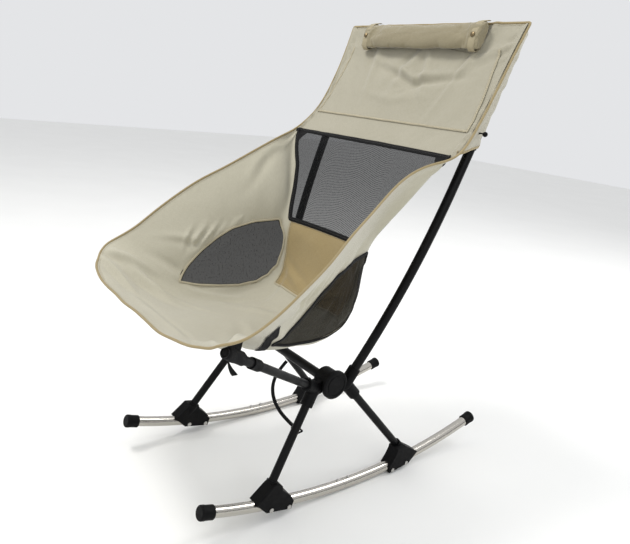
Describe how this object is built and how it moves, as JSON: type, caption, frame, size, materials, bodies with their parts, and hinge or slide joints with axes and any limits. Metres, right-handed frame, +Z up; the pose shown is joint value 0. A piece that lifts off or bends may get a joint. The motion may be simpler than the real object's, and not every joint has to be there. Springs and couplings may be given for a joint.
{
  "type": "camp rocking chair",
  "caption": "High-back packable camp rocking chair: a sewn sling on plugged poles and hubs, standing on curved tube rockers joined by snap buttons.",
  "frame": {"origin": "on the floor at the rockers' lowest points, halfway between the two rockers", "axes": "+Z up, the sitter faces -Y, +X is the sitter's left"},
  "size_m": [0.59, 0.8399, 0.997],
  "materials": {
    "black_tube": "satin black anodised",
    "black_moulding": "fine matte",
    "polished_tube": "polished",
    "bright_steel": "bright",
    "cream_cloth": "plain woven polyester",
    "tan_cloth": "plain woven polyester",
    "grey_mesh": "open mesh",
    "black_webbing": "flat webbing"
  },
  "bodies": {
    "frame": {"back_window": "grey_mesh", "corner_pocket_left": "black_webbing", "corner_pocket_right": "black_webbing", "corner_tab_left": "black_webbing", "corner_tab_right": "black_webbing", "cross_bar": "black_tube", "edge_binding_left": "tan_cloth", "edge_binding_right": "tan_cloth", "front_leg_left": "black_tube", "front_leg_right": "black_tube", "hang_strap": "black_webbing", "head_panel": "cream_cloth", "head_pocket": "cream_cloth", "hub_disc_left": "black_moulding", "hub_disc_right": "black_moulding", "hub_left": "black_moulding", "hub_right": "black_moulding", "lumbar_panel": "tan_cloth", "rear_leg_left": "black_tube", "rear_leg_right": "black_tube", "seat_panel": "cream_cloth", "seat_pole_collars": "black_moulding", "seat_pole_left": "black_tube", "seat_pole_right": "black_tube", "side_mesh_left": "grey_mesh", "side_mesh_right": "grey_mesh", "side_toggles": "black_moulding", "strap_buckle": "black_moulding", "top_pocket_left": "cream_cloth", "top_pocket_right": "cream_cloth", "upright_ferrules": "black_tube", "upright_lower_left": "black_tube", "upright_lower_right": "black_tube", "upright_upper_left": "black_tube", "upright_upper_right": "black_tube"},
    "rocker_front_left": {"rocker_front_left": "polished_tube", "rocker_cap_front_left": "black_moulding", "shoe_front_left": "black_moulding", "shoe_rivets_front_left": "bright_steel", "joining_sleeve_left": "polished_tube"},
    "rocker_rear_left": {"rocker_rear_left": "polished_tube", "rocker_cap_rear_left": "black_moulding", "shoe_rear_left": "black_moulding", "shoe_rivets_rear_left": "bright_steel"},
    "button_front_left": {"snap_button_front_left": "bright_steel"},
    "button_rear_left": {"snap_button_rear_left": "bright_steel"},
    "rocker_front_right": {"rocker_front_right": "polished_tube", "rocker_cap_front_right": "black_moulding", "shoe_front_right": "black_moulding", "shoe_rivets_front_right": "bright_steel", "joining_sleeve_right": "polished_tube"},
    "rocker_rear_right": {"rocker_rear_right": "polished_tube", "rocker_cap_rear_right": "black_moulding", "shoe_rear_right": "black_moulding", "shoe_rivets_rear_right": "bright_steel"},
    "button_front_right": {"snap_button_front_right": "bright_steel"},
    "button_rear_right": {"snap_button_rear_right": "bright_steel"},
    "pillow": {"pillow": "tan_cloth", "pillow_tabs": "tan_cloth"}
  },
  "joints": [
    {"name": "rocker_front_left_off", "type": "slide", "parent": "frame", "child": "rocker_front_left", "axis": [0.1464, -0.4989, -0.8542], "range_m": [0, 0.036]},
    {"name": "rocker_rear_left_off", "type": "slide", "parent": "frame", "child": "rocker_rear_left", "axis": [0.122, 0.6833, -0.7199], "range_m": [0, 0.0435]},
    {"name": "button_front_left_press", "type": "slide", "parent": "rocker_front_left", "child": "button_front_left", "axis": [0, -0.0075, -1], "range_m": [0, 0.0028], "stiffness_N_per_m": 600, "springref_m": -0.002},
    {"name": "button_rear_left_press", "type": "slide", "parent": "rocker_rear_left", "child": "button_rear_left", "axis": [0, -0.0075, -1], "range_m": [0, 0.0028], "stiffness_N_per_m": 600, "springref_m": -0.002},
    {"name": "rocker_front_right_off", "type": "slide", "parent": "frame", "child": "rocker_front_right", "axis": [-0.1464, -0.4989, -0.8542], "range_m": [0, 0.036]},
    {"name": "rocker_rear_right_off", "type": "slide", "parent": "frame", "child": "rocker_rear_right", "axis": [-0.122, 0.6833, -0.7199], "range_m": [0, 0.0435]},
    {"name": "button_front_right_press", "type": "slide", "parent": "rocker_front_right", "child": "button_front_right", "axis": [0, -0.0075, -1], "range_m": [0, 0.0028], "stiffness_N_per_m": 600, "springref_m": -0.002},
    {"name": "button_rear_right_press", "type": "slide", "parent": "rocker_rear_right", "child": "button_rear_right", "axis": [0, -0.0075, -1], "range_m": [0, 0.0028], "stiffness_N_per_m": 600, "springref_m": -0.002},
    {"name": "pillow_flip", "type": "hinge", "parent": "frame", "child": "pillow", "pos_m": [0, 0.21446, 0.9906], "axis": [-1, 0, 0], "range_deg": [0, 150]}
  ],
  "couplings": [
    {"joint": "rocker_rear_left_off", "follows": "rocker_front_left_off", "ratio": 1.2003},
    {"joint": "rocker_rear_right_off", "follows": "rocker_front_right_off", "ratio": 1.2003}
  ]
}
